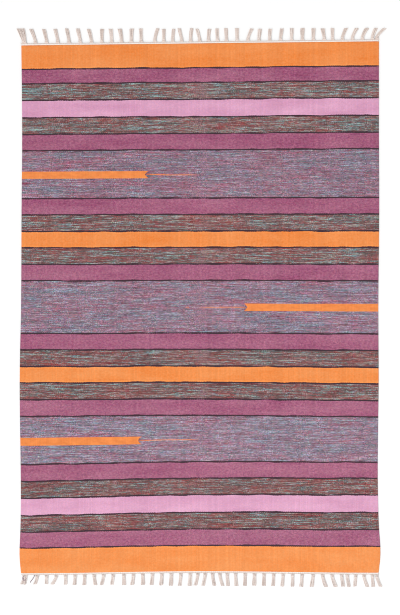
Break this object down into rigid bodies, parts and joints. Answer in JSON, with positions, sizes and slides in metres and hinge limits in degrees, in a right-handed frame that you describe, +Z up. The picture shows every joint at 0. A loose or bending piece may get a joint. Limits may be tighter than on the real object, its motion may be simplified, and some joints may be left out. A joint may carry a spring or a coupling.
{
  "type": "kilim rug",
  "caption": "Flatwoven striped rug that lies flat on a floor, with a knotted cotton fringe along each short end.",
  "frame": {"origin": "on the floor, under the middle of the whole rug with its fringes", "axes": "+Y along the rug's length towards the end with the far fringe, +X across it to the right, +Z up from the floor"},
  "size_m": [1.2384, 1.8746, 0.006],
  "materials": {
    "wool_weft": "matt weft-faced wool flatweave in orange, plum, pink and marled bands",
    "cotton_warp": "undyed cream cotton yarn, knotted and cut"
  },
  "bodies": {
    "root": {"woven_cloth": "wool_weft", "far_fringe": "cotton_warp", "near_fringe": "cotton_warp"}
  },
  "joints": []
}
